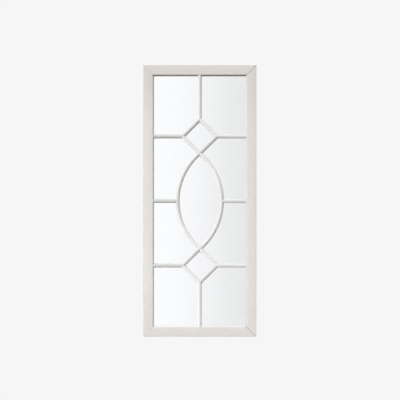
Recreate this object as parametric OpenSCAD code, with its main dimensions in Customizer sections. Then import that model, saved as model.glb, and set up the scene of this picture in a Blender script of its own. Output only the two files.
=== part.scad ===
// Tall wall mirror in a mitred, limed timber frame, with half-round glazing bars laid on the glass
// in a pattern of a pointed lens between two diamonds. Everything is drawn lying on its back on a
// bench, X to the right, Y to the top edge and Z up to the front, and then stood upright.
// Upright, the front faces -Y, the wall is the plane Y = 0 and the origin is its centre.

/* [Frame] */
// Width over the outer edges
frame_w = 500; // [400:10:900]
// Height over the outer edges
frame_h = 1200; // [1000:10:2000]
// Thickness of a frame member from back to front
frame_depth = 18; // [16:1:30]
// Width of the flat face, up to the splayed sight edge
face_w = 42; // [38:1:70]
// Width of the splayed sight edge
splay_w = 5; // [3:0.5:10]
// Depth of the splayed sight edge
splay_d = 6; // [3:0.5:8]
// Radius of the rounded outer front edge
arris_r = 2; // [1:0.5:6]
// Chamfer along the outer back edge
back_chamfer = 1; // [0.5:0.5:3]
// Width of the rebate that holds the glass and the backboard
rebate_w = 12; // [8:1:14]
// Open joint between two members at a mitre
mitre_gap = 0.2; // [0.1:0.1:0.5]

/* [Glass and backboard] */
// Thickness of the mirror glass
glass_t = 4; // [3:0.5:6]
// Thickness of the backboard
board_t = 3; // [2:0.5:5]
// Play between the edge of a pane and the rebate
pane_gap = 1; // [0.5:0.5:2]
// Ground chamfer round the front and back edges of the glass
glass_chamfer = 0.6; // [0.3:0.1:1.2]

/* [Glazing bars] */
// Width of a half-round bar
bar_w = 18; // [10:1:20]
// Height of the straight shoulder under the half round
bar_shoulder = 1; // [1:0.5:3]
// Half the width of a diamond, to the bars' centre lines
diamond_half_w = 76; // [50:1:110]
// Half the height of a diamond, to the bars' centre lines
diamond_half_h = 75; // [50:1:90]
// Half the width of the lens, to the bars' centre lines
lens_half_w = 98; // [60:1:140]
// Half the height of the lens, from its centre to a tip
lens_half_h = 211; // [160:1:250]

/* [Mitre nails] */
// Length of each leg of a V-shaped nail
nail_leg = 8; // [5:0.5:9]
// Thickness of the nail's steel
nail_t = 0.8; // [0.5:0.1:1.2]
// Depth that the nail is driven in from the back
nail_h = 10; // [6:1:12]
// Distance of the first nail from both outer edges
nail_first = 11; // [9:1:14]
// Distance from the first nail to the second, along each edge
nail_pitch = 13; // [11:1:14]

/* [Corner braces] */
// Length of each leg, over the outer corner
brace_leg = 62; // [50:1:90]
// Width of a leg
brace_w = 16; // [12:1:18]
// Thickness of the plate
brace_t = 1.5; // [1:0.25:2.5]
// Distance of the plate from the outer edges of the frame
brace_inset = 9; // [6:1:11]
// Distance from the outer corner of the plate to the first hole
brace_hole_first = 26; // [22:1:30]
// Distance between the two holes of a leg
brace_hole_pitch = 26; // [12:1:28]

/* [Hangers] */
// Distance from the top of the frame to the rings' pivots
hanger_drop = 200; // [130:5:260]
// Length of a strap below the pivot
strap_l = 44; // [42:1:60]
// Width of a strap
strap_w = 12; // [10:1:14]
// Thickness of a strap
strap_t = 1.2; // [0.8:0.1:1.3]
// Distance from the pivot to the first hole
strap_hole_first = 26; // [25:1:30]
// Distance between the two holes
strap_hole_pitch = 11; // [9:1:12]
// Radius of the ring's wire
wire_r = 1.5; // [1:0.1:1.6]
// Half the width of the ring, to the middle of its wire
ring_half_w = 11; // [11:0.5:13]
// Radius of the ring's corners, to the middle of its wire
ring_corner_r = 3; // [2:0.5:4]
// Straight part of the ring's arms
ring_arm = 4; // [2:0.5:5]
// Radial clearance of the ring's bar in the eye of the strap
eye_clear = 0.1; // [0.05:0.01:0.1]

/* [Turn buttons] */
// Length over both round ends
button_l = 30; // [26:1:36]
// Width of a button
button_w = 12; // [9:1:14]
// Thickness of a button
button_t = 1.5; // [1:0.25:2]
// Distance of the pivot from the edge of the rebate
button_inset = 10; // [8:1:14]
// Distance between the buttons on a stile
button_pitch = 330; // [200:10:400]
// Play between a button and the frame, and between a button and its screw's head
button_play = 0.2; // [0.1:0.1:0.4]
// Radial clearance of the screw in the button's hole
pivot_clear = 0.1; // [0.05:0.01:0.1]

/* [Screws] */
// Radius of every shank
shank_r = 1.75; // [1.5:0.05:2]
// Length of a shank in the wood
shank_l = 12; // [9:1:13]
// Length of the point
tip_l = 3; // [2:0.5:4]
// Clearance of a shank in its pilot hole
pilot_clear = 0.05; // [0.02:0.01:0.1]
// Radius of a countersunk head
csk_r = 3.5; // [3:0.1:4]
// Radius of a pan head
pan_r = 3.6; // [3:0.1:4]
// Height of a pan head
pan_h = 2.1; // [1.6:0.1:2.2]
// Chamfer of a pan head
pan_chamfer = 0.7; // [0.3:0.1:1]
// Length of the cross slot in a head
cross_l = 4; // [3:0.5:5]
// Width of the cross slot
cross_w = 0.8; // [0.6:0.1:1]
// Depth of the cross slot
cross_d = 0.8; // [0.5:0.1:1]

/* [Wall pads] */
// Radius of a pad
pad_r = 7; // [5:0.5:9]
// Height of a pad, which is the gap between the frame and the wall
pad_h = 6; // [5.8:0.1:9]
// Chamfer round the face of a pad
pad_chamfer = 1; // [0.5:0.5:2]
// Distance of a pad from the top or bottom of the frame
pad_drop = 95; // [85:1:110]

/* [Hidden] */
$fn = 72;

// How far a cut runs past the face that it cuts
overrun = 1;

// Colours
limed = "#DED8D4";
limed_bar = "#E4E0DB";
silvered = "#E6EBEE";
hardboard = "#6B5440";
zinc = "#A9ACB0";
steel = "#8C9094";
rubber = "#3A3A3C";

// Frame section
member_w = face_w + splay_w;
rebate_d = glass_t + board_t;
land_w = member_w - rebate_w;
front_z = pad_h + frame_depth;

// Clear opening between the sight edges, and the panes behind it
sight_w = frame_w - 2 * member_w;
sight_h = frame_h - 2 * member_w;
pane_w = sight_w + 2 * (rebate_w - pane_gap);
pane_h = sight_h + 2 * (rebate_w - pane_gap);
glass_z = pad_h + board_t;
bars_z = glass_z + glass_t;

// Glazing bars
bar_h = bar_shoulder + bar_w / 2;
diamond_y = lens_half_h + diamond_half_h;
apex_y = diamond_y + diamond_half_h;
lens_r = (pow(lens_half_h, 2) + pow(lens_half_w, 2)) / (2 * lens_half_w);
lens_offset = lens_r - lens_half_w;
lens_angle = asin(lens_half_h / lens_r);
lens_sweep = acos(lens_offset / (lens_r + bar_w));

// Directions of the bars that leave a diamond's vertices, in its upper left quarter
side_angle = 180 + atan2(diamond_half_h, diamond_half_w);
flat_bar_angle = 180;
upright_bar_angle = 90;
lens_bar_angle = 90 + lens_angle;

// Hangers
strap_x = frame_w / 2 - land_w / 2;
pivot_y = frame_h / 2 - hanger_drop;
eye_r = wire_r + eye_clear;
roll_r = eye_r + strap_t;

// Turn buttons: place in the plane of the frame, and the way that each points
button_pivot = button_w / 2;
side_button_x = frame_w / 2 - land_w + button_inset;
end_button_y = frame_h / 2 - land_w + button_inset;
BUTTONS = [
    [0, end_button_y, -90],
    [0, -end_button_y, 90],
    [-side_button_x, button_pitch, 0],
    [-side_button_x, 0, 0],
    [-side_button_x, -button_pitch, 0],
    [side_button_x, button_pitch, 180],
    [side_button_x, 0, 180],
    [side_button_x, -button_pitch, 180]
];

// Places of the screws
brace_line = brace_inset + brace_w / 2;
brace_holes = [brace_hole_first, brace_hole_first + brace_hole_pitch];
brace_spots = [
    for (sx = [-1, 1], sy = [-1, 1], d = brace_holes)
        each [
            [sx * (frame_w / 2 - brace_inset - d), sy * (frame_h / 2 - brace_line)],
            [sx * (frame_w / 2 - brace_line), sy * (frame_h / 2 - brace_inset - d)]
        ]
];
strap_holes = [strap_hole_first, strap_hole_first + strap_hole_pitch];
strap_spots = [for (sx = [-1, 1], d = strap_holes) [sx * strap_x, pivot_y - d]];
button_spots = [for (b = BUTTONS) [b[0], b[1]]];

// Unit vector at an angle in the plane of the frame
function way(a) = [cos(a), sin(a)];

// Stands the bench drawing upright
module upright() rotate([90, 0, 0]) children();

// Turns a drawing over onto the back of the frame, where its Z then points to the wall
module on_back() translate([0, 0, pad_h]) mirror([0, 0, 1]) children();

// The mirror image across the upright or the level centre line, where a sign is -1
module mirrored(sign_x, sign_y)
    mirror([sign_x < 0 ? 1 : 0, 0, 0])
        mirror([0, sign_y < 0 ? 1 : 0, 0])
            children();

// Section of a frame member: outer edge at X = 0, sight edge to the left, back at Y = 0
module frame_section() {
    polygon([
        [0, back_chamfer],
        [0, frame_depth - arris_r],
        [-arris_r, frame_depth - arris_r],
        [-arris_r, frame_depth],
        [-face_w, frame_depth],
        [-member_w, frame_depth - splay_d],
        [-member_w, rebate_d],
        [-land_w, rebate_d],
        [-land_w, 0],
        [-back_chamfer, 0]
    ]);
    translate([-arris_r, frame_depth - arris_r])
        circle(r = arris_r);
}

// Outline between two mitres, with half of the open joint taken off each end
module mitred_outline(length) {
    half = length / 2 - mitre_gap / sqrt(2);
    inner = member_w + overrun;
    polygon([
        [-half - overrun, overrun],
        [half + overrun, overrun],
        [half - inner, -inner],
        [inner - half, -inner]
    ]);
}

// A member with its outer edge along Y = 0 and its mitres cut, lying at the height of the frame
module member(length) {
    translate([0, 0, pad_h])
        intersection() {
            translate([-length / 2, 0, 0])
                rotate([90, 0, 90])
                    linear_extrude(length)
                        frame_section();
            translate([0, 0, -overrun])
                linear_extrude(frame_depth + 2 * overrun)
                    mitred_outline(length);
        }
}

// V-shaped nail across the mitre of the upper left corner, point to the outer corner
module nail_outline() {
    half = nail_t / 2;
    polygon([
        [-half, half],
        [nail_leg, half],
        [nail_leg, -half],
        [half, -half],
        [half, -nail_leg],
        [-half, -nail_leg]
    ]);
}

// All nails, two to a mitre, driven in to the given height from the back
module nails(height) {
    for (sx = [-1, 1], sy = [-1, 1], d = [nail_first, nail_first + nail_pitch])
        mirrored(sx, sy)
            translate([d - frame_w / 2, frame_h / 2 - d, pad_h])
                linear_extrude(height)
                    nail_outline();
}

// Pilot holes and nail slots in the back of the frame
module back_cuts() {
    on_back()
        for (p = concat(brace_spots, strap_spots, button_spots))
            translate([p[0], p[1], -shank_l - pilot_clear])
                cylinder(r = shank_r + pilot_clear, h = shank_l + pilot_clear + overrun);
    nails(nail_h);
}

// Frame members
module top_rail() {
    color(limed)
        upright()
            difference() {
                translate([0, frame_h / 2, 0]) member(frame_w);
                back_cuts();
            }
}

module bottom_rail() {
    color(limed)
        upright()
            difference() {
                translate([0, -frame_h / 2, 0]) rotate(180) member(frame_w);
                back_cuts();
            }
}

module left_stile() {
    color(limed)
        upright()
            difference() {
                translate([-frame_w / 2, 0, 0]) rotate(90) member(frame_h);
                back_cuts();
            }
}

module right_stile() {
    color(limed)
        upright()
            difference() {
                translate([frame_w / 2, 0, 0]) rotate(-90) member(frame_h);
                back_cuts();
            }
}

module mitre_nails() {
    color(steel)
        upright()
            nails(nail_h);
}

// Mirror glass with ground edges: two crossed sections keep the chamfers true
module mirror_glass() {
    color(silvered)
        upright()
            translate([0, 0, glass_z])
                intersection() {
                    rotate([90, 0, 0])
                        linear_extrude(pane_h, center = true)
                            glass_section(pane_w);
                    rotate([90, 0, 90])
                        linear_extrude(pane_w, center = true)
                            glass_section(pane_h);
                }
}

// Section across the glass, with its back at Y = 0
module glass_section(width) {
    half = width / 2;
    inner = half - glass_chamfer;
    polygon([
        [-inner, 0],
        [inner, 0],
        [half, glass_chamfer],
        [half, glass_t - glass_chamfer],
        [inner, glass_t],
        [-inner, glass_t],
        [-half, glass_t - glass_chamfer],
        [-half, glass_chamfer]
    ]);
}

module backboard() {
    color(hardboard)
        upright()
            translate([-pane_w / 2, -pane_h / 2, pad_h])
                cube([pane_w, pane_h, board_t]);
}

// Section of a glazing bar
module bar_section() {
    half = bar_w / 2;
    intersection() {
        union() {
            translate([0, bar_shoulder])
                circle(r = half);
            translate([-half, 0])
                square([bar_w, bar_shoulder]);
        }
        translate([-half, 0])
            square([bar_w, bar_h]);
    }
}

// A straight bar on the glass from a point, in a direction
module bar_from(start, angle, length) {
    translate([start[0], start[1], bars_z])
        rotate(angle)
            rotate([90, 0, 90])
                linear_extrude(length)
                    bar_section();
}

// Everything over the glass within an outline
module over_glass() {
    translate([0, 0, bars_z])
        linear_extrude(bar_h + 2 * overrun)
            children();
}

// Section of the opening between the sight edges, for a bar that runs across it to the frame
module sight_section(width) {
    half = width / 2;
    polygon([
        [-half, bars_z - overrun],
        [half, bars_z - overrun],
        [half, front_z - splay_d],
        [half + splay_w, front_z],
        [half + splay_w, front_z + bar_h],
        [-half - splay_w, front_z + bar_h],
        [-half - splay_w, front_z],
        [-half, front_z - splay_d]
    ]);
}

// The opening, as long as the frame, for bars that meet a stile and for bars that meet a rail
module between_stiles() {
    rotate([90, 0, 0])
        linear_extrude(frame_h, center = true)
            sight_section(sight_w);
}

module between_rails() {
    rotate([90, 0, 90])
        linear_extrude(frame_w, center = true)
            sight_section(sight_h);
}

// Where two bars leave a vertex, each is cut along the line half way between them
function half_way(a, b) = (a + b) / 2;

// The upright bar above the upper diamond, or its mirror image below the lower one
module upright_bar(side) {
    reach = frame_h / 2 - apex_y;
    cut = half_way(upright_bar_angle, side_angle);
    wing = bar_w * way(cut);
    mirrored(1, side)
        intersection() {
            bar_from([0, apex_y - bar_w], upright_bar_angle, reach + bar_w);
            over_glass()
                polygon([
                    [0, apex_y],
                    [-wing[0], apex_y + wing[1]],
                    [-wing[0], frame_h / 2],
                    [wing[0], frame_h / 2],
                    [wing[0], apex_y + wing[1]]
                ]);
            between_rails();
        }
}

module top_bar() {
    color(limed_bar)
        upright()
            upright_bar(1);
}

module bottom_bar() {
    color(limed_bar)
        upright()
            upright_bar(-1);
}

// A level bar from the side vertex of a diamond to the stile
module vertex_bar(side_x, side_y) {
    reach = frame_w / 2 - diamond_half_w;
    cut = half_way(flat_bar_angle, side_angle - 180);
    wing = bar_w * way(cut);
    mirrored(side_x, 1)
        translate([0, side_y * diamond_y, 0])
            intersection() {
                bar_from([bar_w - diamond_half_w, 0], flat_bar_angle, reach + bar_w);
                over_glass()
                    polygon([
                        [-diamond_half_w, 0],
                        [wing[0] - diamond_half_w, wing[1]],
                        [-frame_w / 2, wing[1]],
                        [-frame_w / 2, -wing[1]],
                        [wing[0] - diamond_half_w, -wing[1]]
                    ]);
                between_stiles();
            }
}

module upper_left_bar() {
    color(limed_bar)
        upright()
            vertex_bar(1, 1);
}

module upper_right_bar() {
    color(limed_bar)
        upright()
            vertex_bar(-1, 1);
}

module lower_left_bar() {
    color(limed_bar)
        upright()
            vertex_bar(1, -1);
}

module lower_right_bar() {
    color(limed_bar)
        upright()
            vertex_bar(-1, -1);
}

// One side of a diamond: the upper left one, or its mirror image where a sign is -1
// The outer end angle is that of the bar which leaves the top vertex on the outside
module diamond_side(sign_x, sign_y, outer_angle) {
    top = [0, diamond_half_h];
    left = [-diamond_half_w, 0];
    length = norm(top - left);
    mirrored(sign_x, sign_y)
        intersection() {
            bar_from(top - bar_w * way(side_angle), side_angle, length + 2 * bar_w);
            over_glass()
                polygon([
                    top,
                    [0, 0],
                    left,
                    left + bar_w * way(half_way(flat_bar_angle, side_angle - 180)),
                    top + bar_w * way(half_way(outer_angle, side_angle))
                ]);
        }
}

// A side of the upper or lower diamond, whose inner vertex is a tip of the lens
module side_of(diamond, sign_x, sign_y) {
    outer_angle = diamond * sign_y > 0 ? upright_bar_angle : lens_bar_angle;
    color(limed_bar)
        upright()
            translate([0, diamond * diamond_y, 0])
                diamond_side(sign_x, sign_y, outer_angle);
}

// A ring-shaped stretch of bar along the left side of the lens
module lens_ring() {
    translate([lens_offset, 0, bars_z])
        rotate(180 - lens_sweep)
            rotate_extrude(angle = 2 * lens_sweep)
                translate([lens_r, 0])
                    bar_section();
}

// The bent bar on the left of the lens, or its mirror image, mitred at both tips
// A V-shaped notch up to its centre line takes the pointed end of the level bar
module lens_bar(sign_x) {
    cut = half_way(180 - (side_angle - 180), 270 - lens_angle);
    wing = (lens_half_w + bar_w) * way(cut);
    notch = -wing[0] - lens_half_w;
    color(limed_bar)
        upright()
            mirrored(sign_x, 1)
                intersection() {
                    lens_ring();
                    over_glass()
                        polygon([
                            [0, lens_half_h],
                            [wing[0], lens_half_h + wing[1]],
                            [wing[0], notch],
                            [-lens_half_w, 0],
                            [wing[0], -notch],
                            [wing[0], -lens_half_h - wing[1]],
                            [0, -lens_half_h]
                        ]);
                }
}

// A level bar from the widest point of the lens to the stile, with a pointed inner end
module middle_bar(sign_x) {
    reach = frame_w / 2 - lens_half_w;
    color(limed_bar)
        upright()
            mirrored(sign_x, 1)
                intersection() {
                    bar_from([bar_w - lens_half_w, 0], flat_bar_angle, reach + bar_w);
                    over_glass()
                        polygon([
                            [-lens_half_w, 0],
                            [-frame_w / 2, reach],
                            [-frame_w / 2, -reach]
                        ]);
                    between_stiles();
                }
}

// Flat L-shaped plate for the upper left corner, drawn from its outer corner, with round ends
module brace_outline() {
    end_r = brace_w / 2;
    reach = brace_leg - end_r;
    translate([0, -brace_w])
        square([reach, brace_w]);
    translate([0, -reach])
        square([brace_w, reach]);
    translate([reach, -end_r])
        circle(r = end_r);
    translate([end_r, -reach])
        circle(r = end_r);
}

// What a countersunk screw takes out of a plate that lies on the frame
module countersink() {
    rotate_extrude()
        polygon([
            [0, -overrun],
            [shank_r + pilot_clear, -overrun],
            [shank_r + pilot_clear, 0],
            [csk_r + pilot_clear, brace_t],
            [csk_r + pilot_clear, brace_t + overrun],
            [0, brace_t + overrun]
        ]);
}

module corner_braces() {
    color(zinc)
        upright()
            on_back()
                difference() {
                    for (sx = [-1, 1], sy = [-1, 1])
                        mirrored(sx, sy)
                            translate([brace_inset - frame_w / 2, frame_h / 2 - brace_inset, 0])
                                linear_extrude(brace_t)
                                    brace_outline();
                    for (p = brace_spots)
                        translate([p[0], p[1], 0])
                            countersink();
                }
}

// Cross-shaped slot in a screw head whose top is at Z = 0
module cross_slot() {
    translate([0, 0, -cross_d])
        linear_extrude(cross_d + overrun) {
            square([cross_l, cross_w], center = true);
            square([cross_w, cross_l], center = true);
        }
}

// Wood screw whose countersunk head fills a plate on the frame
module countersunk_screw() {
    difference() {
        rotate_extrude()
            polygon([
                [0, -shank_l],
                [shank_r, tip_l - shank_l],
                [shank_r, 0],
                [csk_r, brace_t],
                [0, brace_t]
            ]);
        translate([0, 0, brace_t])
            cross_slot();
    }
}

// Wood screw whose pan head sits at the given height over the frame
module pan_screw(seat) {
    top = seat + pan_h;
    difference() {
        rotate_extrude()
            polygon([
                [0, -shank_l],
                [shank_r, tip_l - shank_l],
                [shank_r, seat],
                [pan_r, seat],
                [pan_r, top - pan_chamfer],
                [pan_r - pan_chamfer, top],
                [0, top]
            ]);
        translate([0, 0, top])
            cross_slot();
    }
}

module brace_screws() {
    color(steel)
        upright()
            on_back()
                for (p = brace_spots)
                    translate([p[0], p[1], 0])
                        countersunk_screw();
}

// Flat button with round ends, which turns on its screw over the edge of the backboard
module turn_button(index) {
    spot = BUTTONS[index];
    color(zinc)
        upright()
            on_back()
                translate([spot[0], spot[1], button_play])
                    rotate(spot[2])
                        linear_extrude(button_t)
                            button_outline();
}

module button_outline() {
    difference() {
        union() {
            circle(r = button_pivot);
            translate([0, -button_pivot])
                square([button_l - button_w, button_w]);
            translate([button_l - button_w, 0])
                circle(r = button_pivot);
        }
        circle(r = shank_r + pivot_clear);
    }
}

module turn_button_screws() {
    color(steel)
        upright()
            on_back()
                for (p = button_spots)
                    translate([p[0], p[1], 0])
                        pan_screw(button_t + 2 * button_play);
}

// Side view of a hanger strap: a flat tail below an eye that is rolled round the ring
module strap_section() {
    difference() {
        union() {
            translate([0, roll_r])
                circle(r = roll_r);
            translate([-strap_l, 0])
                square([strap_l, strap_t]);
        }
        translate([0, roll_r])
            circle(r = eye_r);
    }
}

// Front view of a hanger strap, with a round lower end
module strap_outline() {
    half = strap_w / 2;
    translate([-half, half - strap_l])
        square([strap_w, strap_l - half + roll_r + overrun]);
    translate([0, half - strap_l])
        circle(r = half);
}

module hanger_strap(side) {
    color(zinc)
        upright()
            on_back()
                translate([side * strap_x, pivot_y, 0])
                    difference() {
                        intersection() {
                            rotate([90, 0, 90])
                                linear_extrude(strap_w, center = true)
                                    strap_section();
                            linear_extrude(2 * roll_r + overrun)
                                strap_outline();
                        }
                        for (d = strap_holes)
                            translate([0, -d, -overrun])
                                cylinder(r = shank_r + pilot_clear, h = strap_t + 2 * overrun);
                    }
}

// D-shaped ring of round wire that hangs from its straight bar
module hanger_ring(side) {
    bar_half = ring_half_w - ring_corner_r;
    color(steel)
        upright()
            on_back()
                translate([side * strap_x, pivot_y, roll_r]) {
                    rotate([0, 90, 0])
                        cylinder(r = wire_r, h = 2 * bar_half, center = true);
                    for (s = [-1, 1])
                        mirrored(s, 1) {
                            translate([bar_half, -ring_corner_r, 0])
                                rotate_extrude(angle = 90)
                                    translate([ring_corner_r, 0])
                                        circle(r = wire_r);
                            translate([ring_half_w, -ring_corner_r - ring_arm, 0])
                                rotate([-90, 0, 0])
                                    cylinder(r = wire_r, h = ring_arm);
                        }
                    translate([0, -ring_corner_r - ring_arm, 0])
                        rotate(180)
                            rotate_extrude(angle = 180)
                                translate([ring_half_w, 0])
                                    circle(r = wire_r);
                }
}

module hanger_screws() {
    color(steel)
        upright()
            on_back()
                for (p = strap_spots)
                    translate([p[0], p[1], 0])
                        pan_screw(strap_t);
}

// Four round pads that keep the frame off the wall
module wall_pads() {
    color(rubber)
        upright()
            on_back()
                for (sx = [-1, 1], sy = [-1, 1])
                    translate([sx * strap_x, sy * (frame_h / 2 - pad_drop), 0])
                        rotate_extrude()
                            polygon([
                                [0, 0],
                                [pad_r, 0],
                                [pad_r, pad_h - pad_chamfer],
                                [pad_r - pad_chamfer, pad_h],
                                [0, pad_h]
                            ]);
}

top_rail();
bottom_rail();
left_stile();
right_stile();
mitre_nails();
mirror_glass();
backboard();
top_bar();
bottom_bar();
upper_left_bar();
upper_right_bar();
middle_bar(1);  // middle_left_bar
middle_bar(-1);  // middle_right_bar
lower_left_bar();
lower_right_bar();
side_of(1, 1, 1);  // upper_diamond_top_left
side_of(1, -1, 1);  // upper_diamond_top_right
side_of(1, 1, -1);  // upper_diamond_bottom_left
side_of(1, -1, -1);  // upper_diamond_bottom_right
side_of(-1, 1, 1);  // lower_diamond_top_left
side_of(-1, -1, 1);  // lower_diamond_top_right
side_of(-1, 1, -1);  // lower_diamond_bottom_left
side_of(-1, -1, -1);  // lower_diamond_bottom_right
lens_bar(1);  // lens_left_bar
lens_bar(-1);  // lens_right_bar
corner_braces();
brace_screws();
turn_button(0);  // turn_button_top
turn_button(1);  // turn_button_bottom
turn_button(2);  // turn_button_left_upper
turn_button(3);  // turn_button_left_middle
turn_button(4);  // turn_button_left_lower
turn_button(5);  // turn_button_right_upper
turn_button(6);  // turn_button_right_middle
turn_button(7);  // turn_button_right_lower
turn_button_screws();
hanger_strap(-1);  // left_hanger_strap
hanger_strap(1);  // right_hanger_strap
hanger_ring(-1);  // left_hanger_ring
hanger_ring(1);  // right_hanger_ring
hanger_screws();
wall_pads();
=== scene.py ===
"""Dresses the tall wall mirror: limed timber, silvered glass and plated fittings.

The mirror hangs in a pale studio. Every size is in metres.
"""

import functools
import logging
import math
from abc import ABC, abstractmethod
from dataclasses import dataclass, replace
from enum import Enum, IntEnum
from typing import Any

import bmesh
import bpy
from mathutils import Matrix, Vector


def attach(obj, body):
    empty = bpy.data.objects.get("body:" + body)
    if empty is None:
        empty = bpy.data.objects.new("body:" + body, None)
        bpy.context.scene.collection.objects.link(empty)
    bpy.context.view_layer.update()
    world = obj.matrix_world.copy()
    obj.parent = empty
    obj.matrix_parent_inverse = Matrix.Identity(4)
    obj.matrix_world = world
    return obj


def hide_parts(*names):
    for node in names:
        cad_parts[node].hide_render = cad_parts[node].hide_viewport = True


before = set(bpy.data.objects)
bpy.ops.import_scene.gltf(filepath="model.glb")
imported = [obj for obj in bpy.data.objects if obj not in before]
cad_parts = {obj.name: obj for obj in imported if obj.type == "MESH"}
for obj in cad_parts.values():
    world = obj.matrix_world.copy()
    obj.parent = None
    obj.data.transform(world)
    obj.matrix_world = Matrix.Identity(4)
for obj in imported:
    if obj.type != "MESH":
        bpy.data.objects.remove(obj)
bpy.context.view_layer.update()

LOG = logging.getLogger("garden_mirror")

# A source is what a socket takes: another socket, or its own number, vector or colour.
Colour = tuple[float, float, float, float]
Source = bpy.types.NodeSocket | float | tuple[float, ...]
Span = tuple[Source, Source]

# The span of a share, and the two ends of a top rail by the sign of X.
WHOLE: Span = (0.0, 1.0)
ENDS = (-1.0, 1.0)

# Edges that turn by more than the first angle are shaded sharp, and by more than the second eased.
SHARP_SHADING = math.radians(35)
SHARP_EDGE = math.radians(40)

# Faces of a CAD mesh that meet at less than this angle are one face, and corners this near are one.
FLAT = math.radians(0.5)
MERGE = 1e-6

# The sockets of a Mix node that mixes colours.
MIX_SHARE, MIX_FIRST, MIX_SECOND, MIX_RESULT = 0, 6, 7, 2


def tone(red: float, green: float, blue: float) -> Colour:
    """Turns a screen colour into the linear colour that a socket takes.

    Args:
        red: Red from 0 to 255.
        green: Green from 0 to 255.
        blue: Blue from 0 to 255.

    Returns:
        The linear colour with an alpha of 1.
    """
    toe, slope, lift, power = 0.04045, 12.92, 0.055, 2.4
    shares = [value / 255 for value in (red, green, blue)]
    linear = [s / slope if s <= toe else ((s + lift) / (1 + lift)) ** power for s in shares]
    return (linear[0], linear[1], linear[2], 1.0)


class Axis(Enum):
    """The way that the fibres of a timber piece run, as the turn that lays them along X."""

    LEVEL = (0.0, 0.0, 0.0)
    UPRIGHT = (0.0, math.pi / 2, 0.0)
    FALLING = (0.0, -math.pi / 4, 0.0)
    RISING = (0.0, math.pi / 4, 0.0)


class Edge(Enum):
    """The four edges of the frame, as the turn about Y that brings a top rail there."""

    TOP = 0.0
    RIGHT = math.pi / 2
    BOTTOM = math.pi
    LEFT = -math.pi / 2


class Skin(IntEnum):
    """The material numbers of the faces of a frame member."""

    FACE = 0
    SIGHT = 1
    JOINT = 2
    RIM = 3


@dataclass
class Nodes:
    """A hand on one node tree, which adds nodes and fills their sockets."""

    tree: bpy.types.NodeTree

    def found(self, kind: str) -> bpy.types.Node:
        """Finds the tree's first node of a type."""
        return next(n for n in self.tree.nodes if n.type == kind)

    def fill(self, node: bpy.types.Node, values: dict[Any, Source]) -> None:
        """Fills a node's inputs, with a link for each socket and a setting for the rest.

        Args:
            node: The node.
            values: Input name or index to a socket, number, vector or colour.
        """
        for key, value in values.items():
            if isinstance(value, bpy.types.NodeSocket):
                self.tree.links.new(value, node.inputs[key])
            else:
                node.inputs[key].default_value = value

    def add(
        self, kind: str, values: dict[Any, Source] | None = None, **settings: Any
    ) -> bpy.types.Node:
        """Adds a node and fills its inputs.

        Args:
            kind: The node's type.
            values: Input name or index to a socket, number, vector or colour.
            settings: The node's own properties.

        Returns:
            The new node.
        """
        node = self.tree.nodes.new(kind)
        for name, setting in settings.items():
            setattr(node, name, setting)
        self.fill(node, values or {})
        return node

    def math(self, operation: str, *values: Source, clamp: bool = False) -> bpy.types.NodeSocket:
        """Adds a Math node and returns its result, kept from 0 to 1 if it is clamped."""
        inputs = dict(enumerate(values))
        return self.add("ShaderNodeMath", inputs, operation=operation, use_clamp=clamp).outputs[0]

    def vector(self, operation: str, *values: Source) -> bpy.types.NodeSocket:
        """Adds a Vector Math node and returns its vector, or its value where it gives one."""
        node = self.add("ShaderNodeVectorMath", dict(enumerate(values)), operation=operation)
        return node.outputs["Value" if operation in ("DOT_PRODUCT", "LENGTH") else "Vector"]

    def parts(self, vector: Source) -> bpy.types.NodeOutputs:
        """Takes a vector apart into X, Y and Z."""
        return self.add("ShaderNodeSeparateXYZ", {"Vector": vector}).outputs

    def joined(self, x: Source, y: Source, z: Source) -> bpy.types.NodeSocket:
        """Makes a vector of its three numbers."""
        return self.add("ShaderNodeCombineXYZ", {"X": x, "Y": y, "Z": z}).outputs[0]

    def spread(self, value: Source, span: Span = WHOLE, to: Span = WHOLE) -> bpy.types.NodeSocket:
        """Maps a value from one span to another, smoothly and kept within it.

        Args:
            value: The value to map.
            span: The values that give the two ends of the result.
            to: The two ends of the result.

        Returns:
            The result.
        """
        values = {"Value": value, "From Min": span[0], "From Max": span[1]}
        values |= {"To Min": to[0], "To Max": to[1]}
        node = self.add("ShaderNodeMapRange", values, interpolation_type="SMOOTHSTEP")
        return node.outputs["Result"]

    def noise(
        self, place: Source, detail: float, roughness: float = 0.55, scale: float = 1.0
    ) -> bpy.types.NodeSocket:
        """Adds a Noise Texture and returns its value."""
        values = {"Vector": place, "Scale": scale, "Detail": detail, "Roughness": roughness}
        return self.add("ShaderNodeTexNoise", values).outputs[0]

    def patches(
        self, place: Source, size: Source, detail: float, roughness: float = 0.55
    ) -> bpy.types.NodeSocket:
        """Adds a noise whose patches have about the given size."""
        return self.noise(self.vector("DIVIDE", place, size), detail, roughness)

    def blend(self, share: Source, first: Source, second: Source) -> bpy.types.NodeSocket:
        """Mixes two colours, where the share is how much of the second one shows."""
        values = {MIX_SHARE: share, MIX_FIRST: first, MIX_SECOND: second}
        return self.add("ShaderNodeMix", values, data_type="RGBA").outputs[MIX_RESULT]

    def tint(
        self, under: Source, over: Source, mask: Source, share: float
    ) -> bpy.types.NodeSocket:
        """Lays a colour over another where the mask shows, up to the share."""
        return self.blend(self.math("MULTIPLY", mask, share), under, over)

    def mix(self, share: Source, first: Source, second: Source) -> bpy.types.NodeSocket:
        """Mixes two shaders, where the share is how much of the second one shows."""
        return self.add("ShaderNodeMixShader", {0: share, 1: first, 2: second}).outputs[0]

    def background(self, colour: Source, strength: Source) -> bpy.types.NodeSocket:
        """Adds a Background shader."""
        values = {"Color": colour, "Strength": strength}
        return self.add("ShaderNodeBackground", values).outputs[0]


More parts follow.
